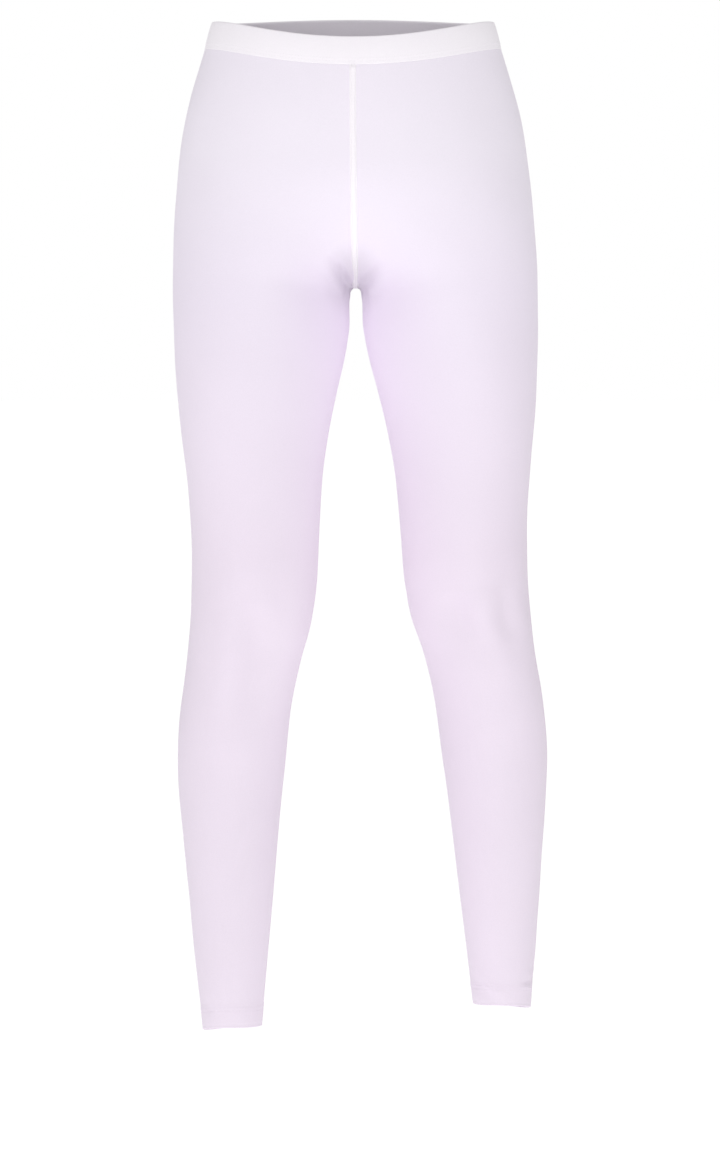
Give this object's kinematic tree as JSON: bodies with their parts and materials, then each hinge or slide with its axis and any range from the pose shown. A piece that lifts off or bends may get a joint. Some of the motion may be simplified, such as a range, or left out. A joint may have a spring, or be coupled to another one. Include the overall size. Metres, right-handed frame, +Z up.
{
  "type": "churidar pants",
  "caption": "Plain white ankle-length stretch churidar pants with an elastic waistband, kept in their hollow worn form.",
  "frame": {"origin": "centre of the waist opening, level with the top edge at the sides", "axes": "+Z up out of the waist opening, -Y to the garment's front, +X to the wearer's left"},
  "size_m": [0.3639, 0.2356, 0.9794],
  "materials": {
    "waistband": "matte knit over elastic",
    "panels": "matte fine cotton stretch jersey",
    "hems": "matte fine cotton stretch jersey, doubled",
    "seam": "matte thread-covered seam"
  },
  "bodies": {
    "root": {"waistband": "waistband", "right_leg": "panels", "left_leg": "panels", "right_hem": "hems", "left_hem": "hems", "rise_seam": "seam"}
  },
  "joints": []
}
